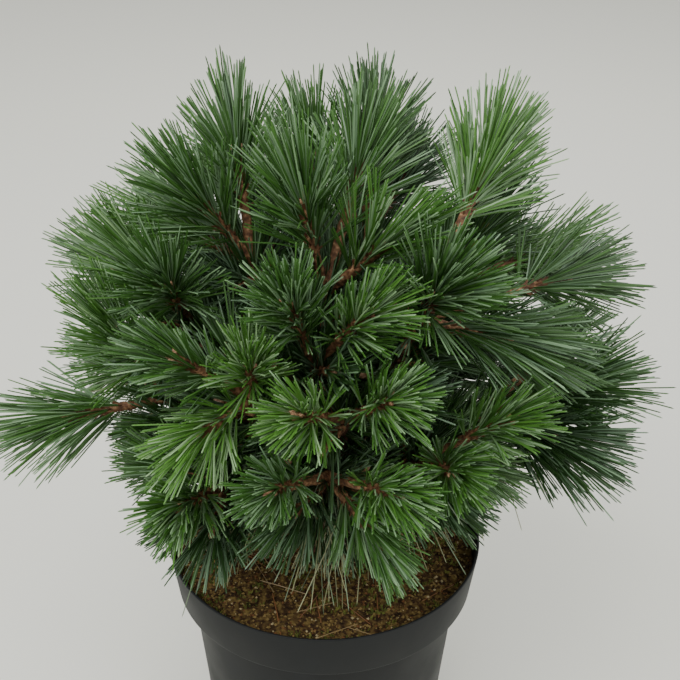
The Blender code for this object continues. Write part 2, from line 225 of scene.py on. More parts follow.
# The room that needles keep, and how far neighbouring masses interlace
OUTER_REACH = 8 * MM
POT_CLEARANCE = 3 * MM
SOIL_CLEARANCE = 30 * MM
INTERLACE = 16 * MM

# How many needles one piece holds, so that it stays under 200,000 triangles
PIECE_NEEDLES = 8600

# Faded needles that hang over the soil
HANGING = 460
HANGING_LENGTHS = (0.8, 1.1)
HANGING_OUT = 0.35
HANGING_SCATTER = 0.3
HANGING_BOW = 0.12
HANGING_FROM = 0.5
# Where along it such a needle is tested against the pot and the soil
HANGING_TESTS = (0.25, 0.5, 0.75, 1)

# Finer shoots, from each whorl and from its bough, that fill the crown's inside
FINE_PER_MASS = 10
FINE_TRIED = 80
FINE_LENGTHS = (20 * MM, 38 * MM)
FINE_TILTS = (math.radians(35), math.radians(80))
FINE_ALONG = (0.35, 0.999)
FINE_APART = 16 * MM
FINE_REACH = 60 * MM
OLD_WOOD_FROM = 0.4

# Camera, fitted to the pot's rim and walls: a focal length of 1200 pixels on a frame of 680
SENSOR = 36
LENS = SENSOR * 1200 / 680
CAMERA_PLACE = Vector((0.010, -0.708, 0.768))
CAMERA_PITCH = math.radians(29.7)
CAMERA_ROLL = math.radians(0.55)

# Room: floor, world and lamps. A lamp is (name, place, size, power).
FLOOR_SIZE = 40
FLOOR_COLOUR = "#e6e6dc"
WORLD_COLOUR = "#e8e9e6"
WORLD_STRENGTH = 0.95
LIT_POINT = Vector((0, 0, 0.3))
LAMPS = (
    ("key", (-0.7, -1.0, 1.9), 1.6, 40),
    ("fill", (1.3, -0.9, 1.2), 1.6, 13),
    ("back", (0.2, 1.4, 1.8), 1.5, 16),
)

SEED = 5

# Each mass: the height where its bough leaves the trunk, its whorl and the buds of its shoots.
# A whorl and a bud are (bearing, distance out, height).
MASSES = {
    "top_left": (292, (-85, 48, 425), [(-108, 60, 492), (-80, 80, 472), (-98, 95, 438)]),
    "top_front": (296, (0, 38, 420), [(-15, 50, 486), (30, 75, 466), (95, 22, 492)]),
    "top_right": (298, (110, 28, 428), [(150, 58, 488), (146, 92, 454)]),
    "top_back": (288, (175, 48, 410), [(-172, 66, 470), (160, 118, 438), (-150, 108, 444)]),
    "upper_front": (276, (-4, 82, 395), [(-10, 110, 450), (13, 114, 444)]),
    "upper_right": (
        284,
        (38, 92, 420),
        [(35, 115, 450), (85, 100, 495), (85, 155, 420), (55, 135, 410)],
    ),
    "upper_right_back": (280, (112, 92, 392), [(112, 166, 400), (114, 116, 428), (134, 148, 392)]),
    "upper_left": (274, (-86, 90, 380), [(-106, 150, 396), (-60, 110, 430), (-90, 118, 420)]),
    "upper_back": (266, (180, 88, 375), [(170, 140, 408), (-168, 142, 402)]),
    "upper_back_left": (258, (-140, 88, 370), [(-135, 138, 412), (-148, 155, 375)]),
    "middle_left": (244, (-82, 108, 326), [(-76, 136, 386), (-102, 148, 326), (-80, 175, 320)]),
    "middle_left_front": (262, (-26, 98, 372), [(-40, 135, 410), (-30, 145, 370), (-20, 122, 412)]),
    "middle_front": (252, (8, 100, 366), [(-5, 150, 400), (16, 145, 405)]),
    "middle_right": (248, (74, 108, 322), [(76, 165, 354), (68, 160, 326), (98, 160, 345)]),
    "middle_back_left": (
        240,
        (-124, 104, 326),
        [(-125, 162, 355), (-118, 155, 312), (-142, 160, 330)],
    ),
    "middle_back_right": (
        254,
        (136, 104, 330),
        [(130, 165, 362), (148, 162, 330), (118, 162, 325)],
    ),
    "middle_back": (236, (178, 104, 326), [(175, 165, 358), (-168, 162, 322), (160, 158, 318)]),
    "low_front": (232, (2, 102, 325), [(-10, 160, 355), (15, 165, 354), (14, 140, 302)]),
    "low_right_front": (238, (40, 104, 326), [(30, 155, 350), (46, 155, 372), (54, 122, 312)]),
    "low_left_front": (224, (-44, 92, 292), [(-35, 150, 315), (-60, 118, 302)]),
    "low_right": (226, (98, 92, 286), [(94, 148, 318), (112, 142, 296)]),
    "low_back_right": (222, (140, 92, 280), [(132, 142, 288), (155, 145, 290)]),
    "low_back_left": (228, (-150, 92, 282), [(-160, 145, 290), (-134, 142, 286)]),
}

# Greens of the needles, dealt out by shoot: the outer face and the paler lined faces
GREENS = {
    "deep": ("#243f1b", "#5a7358"),
    "shade": ("#2f4e20", "#668261"),
    "mid": ("#3a6026", "#718e69"),
    "leaf": ("#456f2b", "#7c9a71"),
    "fresh": ("#507d30", "#89a779"),
}
TONES = list(GREENS)
FRESH_MASSES = ("middle_left_front", "middle_front", "middle_left", "top_left")
# The chance of each green, from deep to fresh, on a fine, a fresh and a common shoot. A common
# shoot's lean to the brighter greens is painted light, for where light falls on the crown's outside
FINE_CHANCES = (0.45, 0.4, 0.15, 0, 0)
FRESH_CHANCES = (0, 0, 0.4, 0.4, 0.2)
COMMON_CHANCES = (0.05, 0.27, 0.4, 0.28, 0)
# A needle's green may be one step deeper or fresher than its shoot's
DRIFTS = (-1, 0, 0, 0, 1)
# Masses at the front with shorter needles, and their share of the full length
SHORT_MASSES = {
    "upper_front": 0.68,
    "middle_front": 0.62,
    "middle_left_front": 0.68,
    "low_front": 0.58,
    "low_left_front": 0.66,
    "low_right_front": 0.62,
}


# Materials

def linear(code):
    """A colour given as sRGB hex, in linear light."""
    channels = [int(code[i : i + 2], 16) / 255 for i in (1, 3, 5)]
    return (*[c / 12.92 if c <= 0.04045 else ((c + 0.055) / 1.055) ** 2.4 for c in channels], 1)


def add(tree, kind, settings=(), links=()):
    """Adds a node, sets its properties, sockets and colour stops, and links its inputs."""
    node = tree.nodes.new(kind)
    for name, value in dict(settings).items():
        if name == "stops":
            ramp = node.color_ramp.elements
            while len(ramp) < len(value):
                ramp.new(0.5)
            for stop, (at, code) in zip(ramp, value):
                stop.position = at
                stop.color = linear(code)
        elif isinstance(name, int) or name in node.inputs:
            node.inputs[name].default_value = value
        else:
            setattr(node, name, value)
    for name, output in dict(links).items():
        tree.links.new(output, node.inputs[name])
    return node


def finish(name, sockets):
    """A material whose shader has these constants on its own sockets."""
    made = bpy.data.materials.new(name)
    made.use_nodes = True
    shader = made.node_tree.nodes["Principled BSDF"]
    for socket, value in sockets.items():
        shader.inputs[socket].default_value = value
    return made, made.node_tree, shader


def needle_finish(name, code):
    """Waxy pine needle: a soft narrow gloss over a plain green that is dealt out by shoot."""
    return finish(name, {"Base Color": linear(code), "Roughness": 0.42, "IOR": 1.45})[0]


def bark_finish():
    """Young pine bark: thin reddish brown plates with grey edges and darker cracks between."""
    made, tree, shader = finish("pine_bark", {"Roughness": 0.85, "Specular IOR Level": 0.3})
    where = add(tree, "ShaderNodeTexCoord").outputs["Object"]
    plates = add(
        tree,
        "ShaderNodeTexVoronoi",
        {"feature": "DISTANCE_TO_EDGE", "Scale": 1 / (3.2 * MM)},
        {"Vector": where},
    )
    grain = add(
        tree, "ShaderNodeTexNoise", {"Scale": 1 / (2.4 * MM), "Detail": 5.0}, {"Vector": where}
    )
    stops = [(0.25, "#281a13"), (0.48, "#553829"), (0.62, "#6f4e3a"), (0.8, "#94806e")]
    colour = add(tree, "ShaderNodeValToRGB", {"stops": stops}, {"Fac": grain.outputs["Fac"]})
    crack = add(
        tree,
        "ShaderNodeValToRGB",
        {"stops": [(0.0, "#3a2419"), (0.12, "#ffffff")]},
        {"Fac": plates.outputs["Distance"]},
    )
    mixed = add(
        tree,
        "ShaderNodeMix",
        {"data_type": "RGBA", "blend_type": "MULTIPLY", 0: 0.8},
        {6: colour.outputs["Color"], 7: crack.outputs["Color"]},
    )
    bump = add(
        tree,
        "ShaderNodeBump",
        {"Strength": 0.5, "Distance": 0.6 * MM},
        {"Height": grain.outputs["Fac"]},
    )
    tree.links.new(mixed.outputs[2], shader.inputs["Base Color"])
    tree.links.new(bump.outputs["Normal"], shader.inputs["Normal"])
    return made


def twig_finish():
    """This year's and last year's twigs: orange to red brown, with paler scale tips."""
    made, tree, shader = finish("young_bark", {"Roughness": 0.7, "Specular IOR Level": 0.35})
    where = add(tree, "ShaderNodeTexCoord").outputs["Object"]
    grain = add(
        tree, "ShaderNodeTexNoise", {"Scale": 1 / (3.0 * MM), "Detail": 4.0}, {"Vector": where}
    )
    stops = [(0.3, "#3c271b"), (0.46, "#62422c"), (0.58, "#835f41"), (0.72, "#ab8663")]
    colour = add(tree, "ShaderNodeValToRGB", {"stops": stops}, {"Fac": grain.outputs["Fac"]})
    bump = add(
        tree,
        "ShaderNodeBump",
        {"Strength": 0.4, "Distance": 0.3 * MM},
        {"Height": grain.outputs["Fac"]},
    )
    tree.links.new(colour.outputs["Color"], shader.inputs["Base Color"])
    tree.links.new(bump.outputs["Normal"], shader.inputs["Normal"])
    return made


def bud_finish():
    """Resting pine bud: papery tan scales with a trace of dried resin that gives a dull shine."""
    made, tree, shader = finish("bud_scales", {"Roughness": 0.5, "Coat Weight": 0.15})
    where = add(tree, "ShaderNodeTexCoord").outputs["Object"]
    grain = add(
        tree, "ShaderNodeTexNoise", {"Scale": 1 / (1.6 * MM), "Detail": 2.0}, {"Vector": where}
    )
    stops = [(0.3, "#8a5f44"), (0.55, "#b98f6f"), (0.75, "#d6b696")]
    colour = add(tree, "ShaderNodeValToRGB", {"stops": stops}, {"Fac": grain.outputs["Fac"]})
    tree.links.new(colour.outputs["Color"], shader.inputs["Base Color"])
    return made


def plastic_finish():
    """Injection moulded polypropylene, charcoal: satin, a little mottled with dust."""
    made, tree, shader = finish("moulded_polypropylene", {"IOR": 1.49, "Specular IOR Level": 0.22})
    where = add(tree, "ShaderNodeTexCoord").outputs["Object"]
    dust = add(
        tree, "ShaderNodeTexNoise", {"Scale": 1 / (38 * MM), "Detail": 6.0}, {"Vector": where}
    )
    stops = [(0.35, "#121415"), (0.6, "#161819"), (0.78, "#1e2022")]
    colour = add(tree, "ShaderNodeValToRGB", {"stops": stops}, {"Fac": dust.outputs["Fac"]})
    gloss = add(
        tree,
        "ShaderNodeMapRange",
        {"From Min": 0.35, "From Max": 0.7, "To Min": 0.48, "To Max": 0.62},
        {"Value": dust.outputs["Fac"]},
    )
    grain = add(
        tree, "ShaderNodeTexNoise", {"Scale": 1 / (0.9 * MM), "Detail": 2.0}, {"Vector": where}
    )
    bump = add(
        tree,
        "ShaderNodeBump",
        {"Strength": 0.12, "Distance": 0.2 * MM},
        {"Height": grain.outputs["Fac"]},
    )
    tree.links.new(colour.outputs["Color"], shader.inputs["Base Color"])
    tree.links.new(gloss.outputs["Result"], shader.inputs["Roughness"])
    tree.links.new(bump.outputs["Normal"], shader.inputs["Normal"])
    return made


def earth_finish(name, stops, lump):
    """Damp peaty compost, moss or grit: matt, mottled at the size of its own lumps."""
    made, tree, shader = finish(name, {"Roughness": 0.95, "Specular IOR Level": 0.2})
    where = add(tree, "ShaderNodeTexCoord").outputs["Object"]
    mottle = add(tree, "ShaderNodeTexNoise", {"Scale": 1 / lump, "Detail": 6.0}, {"Vector": where})
    colour = add(tree, "ShaderNodeValToRGB", {"stops": stops}, {"Fac": mottle.outputs["Fac"]})
    bump = add(
        tree,
        "ShaderNodeBump",
        {"Strength": 0.6, "Distance": 1 * MM},
        {"Height": mottle.outputs["Fac"]},
    )
    tree.links.new(colour.outputs["Color"], shader.inputs["Base Color"])
    tree.links.new(bump.outputs["Normal"], shader.inputs["Normal"])
    return made


# Shapes

def unit(vectors):
    return vectors / np.linalg.norm(vectors, axis=-1, keepdims=True)


def place(bearing, out, height):
    """The point at this bearing, distance out and height."""
    angle = math.radians(bearing)
    return np.array([out * math.sin(angle), -out * math.cos(angle), height]) * MM


def across_pair(direction):
    """Two unit vectors square to each direction and to each other."""
    helper = np.where(np.abs(direction[..., 2:3]) > NEARLY_UPRIGHT, np.array([1.0, 0, 0]), UP)
    side = unit(np.cross(direction, helper))
    return side, np.cross(direction, side)


class Heap:
    """Many small closed shapes that are joined into one mesh."""

    def __init__(self):
        self.points = []
        self.faces = []
        self.slots = []
        self.count = 0

    def add(self, points, faces, slots=0):
        """Adds a shape; slots holds the finish of all its faces, or of each one."""
        self.points.append(points)
        self.faces.append(faces + self.count)
        self.slots.append(np.broadcast_to(slots, len(faces)))
        self.count += len(points)

    def piece(self, name, materials, smooth=True):
        """The object that holds all the shapes."""
        mesh = bpy.data.meshes.new(name)
        points, faces = np.concatenate(self.points), np.concatenate(self.faces)
        mesh.from_pydata(points.tolist(), [], faces.tolist())
        for item in materials:
            mesh.materials.append(item)
        slots = np.concatenate(self.slots).astype(np.int32)
        mesh.polygons.foreach_set("material_index", slots)
        if smooth:
            mesh.shade_smooth()
        obj = bpy.data.objects.new(name, mesh)
        bpy.context.scene.collection.objects.link(obj)
        return obj


def tube_faces(rings, sides):
    """Triangles of a closed tube: its skin, then a fan over each end's centre point."""
    found = []
    for i in range(rings - 1):
        for j in range(sides):
            a, b = i * sides + j, i * sides + (j + 1) % sides
            found += [(a, b, b + sides), (a, b + sides, a + sides)]
    foot, top = rings * sides, rings * sides + 1
    last = (rings - 1) * sides
    for j in range(sides):
        found.append((foot, (j + 1) % sides, j))
        found.append((top, last + j, last + (j + 1) % sides))
    return np.array(found)


def tube(heap, line, radii, sides):
    """A tube along a line of points; radii holds one value for each ring and side."""
    direction = unit(np.gradient(line, axis=0))
    side, face = across_pair(direction)
    angle = np.arange(sides) * 2 * math.pi / sides
    ring = side[:, None] * np.cos(angle)[:, None] + face[:, None] * np.sin(angle)[:, None]
    points = line[:, None] + ring * radii[..., None]
    points = np.concatenate([points.reshape(-1, 3), line[:1], line[-1:]])
    heap.add(points, tube_faces(len(line), sides))


def spiral_scales(line, sides, spacing, depth):
    """The relief of overlapping scale leaves, in a spiral up a twig."""
    run = np.concatenate([[0], np.cumsum(np.linalg.norm(np.diff(line, axis=0), axis=1))])
    angle = np.arange(sides) * 2 * math.pi / sides
    phase = run[:, None] / spacing * 2 * math.pi + SCALE_TURNS * angle
    return depth * np.maximum(0, np.sin(phase)) ** SCALE_SHARPNESS


# Limbs

def trunk_axis(height):
    """The trunk's centre at a height above the pot's underside."""
    share = (height - TRUNK_FOOT) / TRUNK_HEIGHT
    return UP * height + TRUNK_LEAN * share + TRUNK_BEND * math.sin(math.pi * share)


def trunk_radius(height):
    """The trunk's radius there: a slow taper, widened by the root flare at its foot."""
    share = (height - TRUNK_FOOT) / TRUNK_HEIGHT
    flare = math.exp(-(height - TRUNK_FOOT) / FLARE_HEIGHT * 2)
    plain = TRUNK_MID_RADIUS + (TRUNK_TOP_RADIUS - TRUNK_MID_RADIUS) * share
    return plain + (TRUNK_FOOT_RADIUS - TRUNK_MID_RADIUS) * flare


class Bough:
    """Where one bough runs, from inside the trunk's bark to the whorl of its mass."""

    def __init__(self, foot_height, whorl):
        self.whorl = place(*whorl)
        height = foot_height * MM
        axis = trunk_axis(height)
        across = unit((self.whorl - axis) * LEVEL)
        self.leave = across * math.cos(BOUGH_FOOT_RISE) + UP * math.sin(BOUGH_FOOT_RISE)
        self.foot = axis + across * (trunk_radius(height) - BOUGH_SINK)
        self.arrive = unit(unit(self.whorl - self.foot) + UP * BOUGH_LIFT)
        self.tip = self.whorl - self.arrive * STEM_LENGTH

    def line(self, steps):
        """Points of the smooth curve to the tip, then of the straight stem to the whorl."""
        pull = np.linalg.norm(self.tip - self.foot) * BOUGH_SWEEP
        s = np.linspace(0, 1, steps)[:, None]
        curve = (
            self.foot * (2 * s**3 - 3 * s**2 + 1)
            + self.leave * pull * (s**3 - 2 * s**2 + s)
            + self.tip * (3 * s**2 - 2 * s**3)
            + self.arrive * pull * (s**3 - s**2)
        )
        share = np.linspace(1 / STEM_STEPS, 1, STEM_STEPS)
        stem = self.tip + (self.whorl - self.tip) * share[:, None]
        return np.concatenate([curve, stem])


def line_distance(points, starts, ends):
    """How far each point is from each straight line, as a table of points by lines."""
    along = ends - starts
    offset = points[:, None] - starts[None]
    share = np.clip((offset * along).sum(-1) / (along * along).sum(-1), 0, 1)
    return np.linalg.norm(offset - share[..., None] * along, axis=-1)


class Shoot:
    """A straight shoot of one mass, from its foot to its bud."""

    def __init__(self, mass, foot, bud, fine=False):
        self.mass = mass
        self.foot = foot
        self.bud = bud
        self.fine = fine
        self.along = unit(bud - foot)
        self.length = np.linalg.norm(bud - foot)


def old_wood(boughs):
    """The outer part of each bough, which still carries the needles of earlier years."""
    found = []
    for name, bough in boughs.items():
        line = bough.line(BOUGH_STEPS)
        found.append(Shoot(name, line[int(BOUGH_STEPS * OLD_WOOD_FROM)], bough.whorl, fine=True))
    return found


def main_shoots(boughs):
    """The shoots of the source: from each whorl to its buds."""
    found = []
    for name, (_, _, buds) in MASSES.items():
        for bud in buds:
            found.append(Shoot(name, boughs[name].whorl, place(*bud)))
    return found


def fine_shoots(boughs, shoots, rng):
    """Shorter shoots round each whorl and its bough, where the others leave room."""
    found = []
    starts = np.array([shoot.foot for shoot in shoots])
    ends = np.array([shoot.bud for shoot in shoots])
    buds = [np.full(3, math.inf)]
    for name, bough in boughs.items():
        line = bough.line(BOUGH_STEPS)
        side, face = across_pair(bough.arrive)
        kept = 0
        for i in range(FINE_TRIED):
            foot = line[int(len(line) * rng.uniform(*FINE_ALONG))]
            tilt = rng.uniform(*FINE_TILTS)
            turn = i * GOLDEN_TURN
            around = side * math.cos(turn) + face * math.sin(turn)
            direction = bough.arrive * math.cos(tilt) + around * math.sin(tilt)
            bud = foot + direction * rng.uniform(*FINE_LENGTHS)
            room = line_distance(bud[None], starts, ends).min()
            apart = np.linalg.norm(np.array(buds) - bud, axis=1).min()
            if min(room, apart) < FINE_APART or not clear_of_pot(bud[None])[0]:
                continue
            found.append(Shoot(name, foot, bud, fine=True))
            buds.append(bud)
            kept += 1
            if kept == FINE_PER_MASS:
                break
    return found


def clear_of_pot(points, over_soil=SOIL_CLEARANCE):
    """Whether each point is outside the pot's walls and far enough above the soil."""
    out = np.linalg.norm(points[:, :2], axis=1)
    outside = out > POT_RIM_RADIUS + POT_CLEARANCE
    above = points[:, 2] > POT_HEIGHT + POT_CLEARANCE
    inside = (out < POT_RIM_RADIUS - 2 * POT_CLEARANCE) & (points[:, 2] > SOIL_CROWN + over_soil)
    return outside | above | inside


# Needles

def needle_shapes(root, direction, length, bow, roll, width=NEEDLE_WIDTH):
    """Thin three-sided needles with a sheath, a bend on the way and a short blunt tip."""
    side, face = across_pair(direction)
    rings = []
    for at, share in NEEDLE_RINGS:
        centre = root + direction * length[:, None] * at + bow * at**2
        for corner in range(3):
            angle = roll + corner * 2 * math.pi / 3
            spoke = side * np.cos(angle)[:, None] + face * np.sin(angle)[:, None]
            rings.append(centre + spoke * width / 2 * share)
    rings.append(root + direction * length[:, None] + bow)
    return np.stack(rings, axis=1)


def needle_faces():
    """A needle's triangles and the finish of each: its green back, pale lined face or sheath."""
    back, lined, sheath = 0, 1, 2
    faces, slots = [(0, 2, 1)], [sheath]
    for ring in range(len(NEEDLE_RINGS) - 1):
        for i in range(3):
            a, b = 3 * ring + i, 3 * ring + (i + 1) % 3
            faces += [(a, b, b + 3), (a, b + 3, a + 3)]
            skin = lined if i == 1 else back
            slots += [sheath if ring == 0 else skin] * 2
    top = 3 * (len(NEEDLE_RINGS) - 1)
    for i in range(3):
        faces.append((top + i, top + (i + 1) % 3, top + 3))
        slots.append(lined if i == 1 else back)
    return np.array(faces), np.array(slots)


NEEDLE_FACES, NEEDLE_SLOTS = needle_faces()
NEEDLE_POINTS = 3 * len(NEEDLE_RINGS) + 1


def needle_piece(name, shapes, finishes, slots):
    """One object of many needles."""
    heap = Heap()
    steps = np.arange(len(shapes))[:, None, None] * NEEDLE_POINTS
    heap.add(shapes.reshape(-1, 3), (NEEDLE_FACES[None] + steps).reshape(-1, 3), slots)
    return heap.piece(name, finishes, smooth=False)


def two_tones(shapes):
    """Every other needle in the second of two finishes."""
    return np.repeat(np.arange(len(shapes)) % 2, len(NEEDLE_FACES))


def bundles(shoot, rng):
    """Roots, directions and lengths of a shoot's needles, in a golden spiral from the bud back."""
    count = FINE_BUNDLES if shoot.fine else BUNDLES
    count = int(count * (1 + rng.uniform(-BUNDLES_SPREAD, BUNDLES_SPREAD)))
    leafy = min(LEAFY_LENGTH, shoot.length * MOST_LEAFY)
    share = ((np.arange(count) + 0.5) / count) ** CROWDING
    off = FIRST_ANGLE + (LAST_ANGLE - FIRST_ANGLE) * share**ANGLE_CURVE
    off = off + rng.normal(0, ANGLE_JITTER, count)
    turn = rng.uniform(0, 2 * math.pi) + np.arange(count) * GOLDEN_TURN
    side, face = across_pair(shoot.along)
    around = side * np.cos(turn)[:, None] + face * np.sin(turn)[:, None]
    root = shoot.bud - shoot.along * (leafy * share)[:, None] + around * TWIG_RADIUS * ROOT_OUT
    direction = shoot.along * np.cos(off)[:, None] + around * np.sin(off)[:, None]
    root = np.repeat(root, NEEDLES_IN_BUNDLE, axis=0)
    direction = np.repeat(direction, NEEDLES_IN_BUNDLE, axis=0)
    direction = unit(direction + rng.normal(0, BUNDLE_OPENING, direction.shape))
    age = 1 + (BACK_LENGTH - 1) * share - rng.uniform(0, BUNDLE_SPREAD, count)
    age = np.repeat(age, NEEDLES_IN_BUNDLE)
    length = NEEDLE_LENGTH * age * (1 + rng.uniform(-NEEDLE_SPREAD, NEEDLE_SPREAD, len(root)))
    short = FINE_LENGTH if shoot.fine else SHORT_MASSES.get(shoot.mass, 1)
    return root, direction, length * short


def shoot_needles(shoot, lines, rng):
    """One shoot's needles, but for those that would meet the pot or leave their mass's side."""
    root, direction, length = bundles(shoot, rng)
    low = np.clip((LOW_CROWN - root[:, 2]) / LOW_CROWN_DEPTH, 0, 1)
    sag = NEEDLE_SAG + (LOW_SAG - NEEDLE_SAG) * low
    bow = -UP * (length * sag)[:, None] + rng.normal(0, NEEDLE_BOW, root.shape) * length[:, None]
    roll = rng.uniform(0, 2 * math.pi, len(root))
    tip = root + direction * length[:, None] + bow
    middle = (root + tip) / 2
    starts, ends, owners = lines
    distance = line_distance(tip, starts, ends)
    own = line_distance(tip, shoot.foot[None], shoot.bud[None])[:, 0]
    foreign = distance[:, owners != shoot.mass].min(axis=1)
    keep = clear_of_pot(tip) & clear_of_pot(middle) & (foreign > own - INTERLACE)
    if shoot.fine:
        keep &= distance.min(axis=1) < FINE_REACH
    lowest, highest = (np.array(corner) for corner in cad_box)
    keep &= ((tip > lowest - OUTER_REACH) & (tip < highest + OUTER_REACH)).all(axis=1)
    return needle_shapes(root, direction, length, bow, roll)[keep]


def shoot_tone(shoot, rng):
    """Which green a shoot has: older inner shoots are deeper, some masses are fresher, and the
    common outer shoots lean to brighter greens as painted light.
    """
    chances = FRESH_CHANCES if shoot.mass in FRESH_MASSES else COMMON_CHANCES
    if shoot.fine:
        chances = FINE_CHANCES
    return int(rng.choice(len(TONES), p=chances))


def make_needles(shoots, main, sheath, rng):
    """All needles, sorted by their green into pieces of a limited size."""
    lines = (
        np.array([shoot.foot for shoot in main]),
        np.array([shoot.bud for shoot in main]),
        np.array([shoot.mass for shoot in main]),
    )
    by_tone = {tone: [] for tone in TONES}
    for shoot in shoots:
        shapes = shoot_needles(shoot, lines, rng)
        tone = shoot_tone(shoot, rng)
        drift = rng.choice(DRIFTS, len(shapes))
        for step in sorted(set(DRIFTS)):
            picked = TONES[min(max(tone + step, 0), len(TONES) - 1)]
            by_tone[picked].append(shapes[drift == step])
    pieces = []
    for tone, groups in by_tone.items():
        back, lines = GREENS[tone]
        finishes = [
            needle_finish("needle_" + tone, back),
            needle_finish("needle_lines_" + tone, lines),
            sheath,
        ]
        shapes = np.concatenate(groups)
        for i, start in enumerate(range(0, len(shapes), PIECE_NEEDLES)):
            part = shapes[start : start + PIECE_NEEDLES]
            slots = np.tile(NEEDLE_SLOTS, len(part))
            pieces.append(needle_piece(f"needles_{tone}_{i + 1}", part, finishes, slots))
    return pieces


# Modelling steps

def deselect():
    """Clears the selection, so that an operator acts only on what comes next."""
    bpy.ops.object.select_all(action="DESELECT")


def settle(obj):
    """Puts the object's place into its mesh, with its faces pointing out."""
    deselect()
    obj.select_set(True)
    bpy.context.view_layer.objects.active = obj
    bpy.ops.object.transform_apply(location=True, rotation=True, scale=True)
    bpy.ops.object.mode_set(mode="EDIT")
    bpy.ops.mesh.select_all(action="SELECT")
    bpy.ops.mesh.normals_make_consistent(inside=False)
    bpy.ops.object.mode_set(mode="OBJECT")


def apply_modifiers(obj):
    """Makes what the object's modifiers show its own mesh."""
    bpy.context.view_layer.objects.active = obj
    for modifier in list(obj.modifiers):
        bpy.ops.object.modifier_apply(modifier=modifier.name)


def extruded(name, rings, sides):
    """A closed shape drawn up from a filled circle: each ring is (centre, radius)."""
    deselect()
    centre, radius = rings[0]
    bpy.ops.mesh.primitive_circle_add(
        vertices=sides, radius=radius, fill_type="NGON", location=centre
    )
    obj = bpy.context.object
    obj.name = obj.data.name = name
    bpy.ops.object.mode_set(mode="EDIT")
    bpy.ops.mesh.select_all(action="SELECT")
    for (before, last), (after, radius) in zip(rings, rings[1:]):
        step = Vector(after) - Vector(before)
        bpy.ops.mesh.extrude_region_move(TRANSFORM_OT_translate={"value": step})
        share = radius / last
        bpy.ops.transform.resize(value=(share, share, 1), center_override=Vector(after))
    bpy.ops.object.mode_set(mode="OBJECT")
    settle(obj)
    return obj


def displace(obj, name, kind, size, strength):
    """Relief from one of Blender's own textures, whose lumps have a real size."""
    texture = bpy.data.textures.new(name, kind)
    texture.noise_scale = size
    relief = obj.modifiers.new(name, "DISPLACE")
    relief.texture = texture
    relief.strength = strength
    relief.mid_level = 0.5


# Wood

def make_trunk(bark):
    """The trunk with its root flare, then bark plates and cracks in its mesh."""
    rings = []
    for i in range(TRUNK_STEPS + 1):
        height = TRUNK_FOOT - BOUGH_SINK + (TRUNK_HEIGHT + BOUGH_SINK) * i / TRUNK_STEPS
        rings.append((trunk_axis(height), trunk_radius(max(height, TRUNK_FOOT))))
    trunk = extruded("trunk_bark", rings, TRUNK_SIDES)
    for vert in trunk.data.vertices:
        centre = Vector(trunk_axis(vert.co.z))
        spoke = vert.co - centre
        height = vert.co.z - TRUNK_FOOT
        lobes = FLARE_DEPTH * min(1, max(0, 1 - height / (2 * FLARE_HEIGHT)))
        spoke *= 1 + lobes * math.cos(FLARE_LOBES * math.atan2(spoke.y, spoke.x))
        vert.co = centre + spoke
    finer = trunk.modifiers.new("finer", "SUBSURF")
    finer.levels = finer.render_levels = TRUNK_SUBDIVISION
    displace(trunk, "plates", "VORONOI", BARK_PLATE, BARK_RELIEF)
    displace(trunk, "cracks", "CLOUDS", BARK_PLATE / 2, BARK_RELIEF)
    apply_modifiers(trunk)
    trunk.data.materials.append(bark)
    trunk.data.shade_smooth()
    return trunk


def make_boughs(boughs, bark):
    """All boughs, each with a collar at the trunk and a rough, scaly bark."""
    heap = Heap()
    for bough in boughs.values():
        line = bough.line(BOUGH_STEPS)
        share = np.linspace(0, 1, len(line))
        collar = COLLAR_DEPTH * np.exp(-share * COLLAR_FADE)
        plain = BOUGH_FOOT_RADIUS + (BOUGH_TIP_RADIUS - BOUGH_FOOT_RADIUS) * share + collar
        relief = spiral_scales(line, BOUGH_SIDES, 2 * SCALE_SPACING, SCALE_RELIEF)
        tube(heap, line, plain[:, None] + relief, BOUGH_SIDES)
    return heap.piece("boughs_bark", [bark])


def make_twigs(shoots, bark):
    """The wood of every shoot, rough with the scale leaves that carried its needles."""
    heap = Heap()
    for shoot in shoots:
        steps = FINE_STEPS if shoot.fine else TWIG_STEPS
        run = np.linspace(-TWIG_SINK, 1, steps)
        line = shoot.foot + (shoot.bud - shoot.foot) * run[:, None]
        share = np.linspace(0, 1, steps)
        thickness = FINE_THICKNESS if shoot.fine else 1
        plain = TWIG_RADIUS * (TWIG_FOOT - TWIG_TAPER * share) * thickness
        scales = spiral_scales(line, TWIG_SIDES, SCALE_SPACING, SCALE_RELIEF)
        tube(heap, line, plain[:, None] + scales, TWIG_SIDES)
    return heap.piece("twigs", [bark])


def make_buds(shoots, scales):
    """A pointed bud at the end of each shoot, with smaller ones at its side."""
    heap = Heap()
    share = np.linspace(0, 1, BUD_STEPS)
    outline = np.sin(math.pi * (BUD_ARCH_START + BUD_ARCH_SHARE * share)) ** BUD_FULLNESS
    for index, shoot in enumerate(shoots):
        side, face = across_pair(shoot.along)
        for k in range(1 if shoot.fine else 1 + SIDE_BUDS):
            turn = index + k * 2 * math.pi / SIDE_BUDS
            aside = (side * math.cos(turn) + face * math.sin(turn)) * (k > 0)
            size = 1 if k == 0 else SIDE_BUD_SIZE
            foot = shoot.bud + aside * BUD_RADIUS * SIDE_BUD_OUT
            along = unit(shoot.along + aside * SIDE_BUD_LEAN)
            line = foot + along * (share * BUD_LENGTH * size)[:, None]
            relief = spiral_scales(line, BUD_SIDES, BUD_SCALE_SPACING, BUD_SCALE_RELIEF) * size
            tube(heap, line, (outline * BUD_RADIUS * size)[:, None] + relief, BUD_SIDES)
    return heap.piece("buds", [scales])


# Pot and soil

def wall_radius(height):
    """The outer radius of the plain wall under the band."""
    share = height / (POT_HEIGHT - BAND_HEIGHT)
    return POT_BASE_RADIUS + (WALL_TOP_RADIUS - POT_BASE_RADIUS) * share


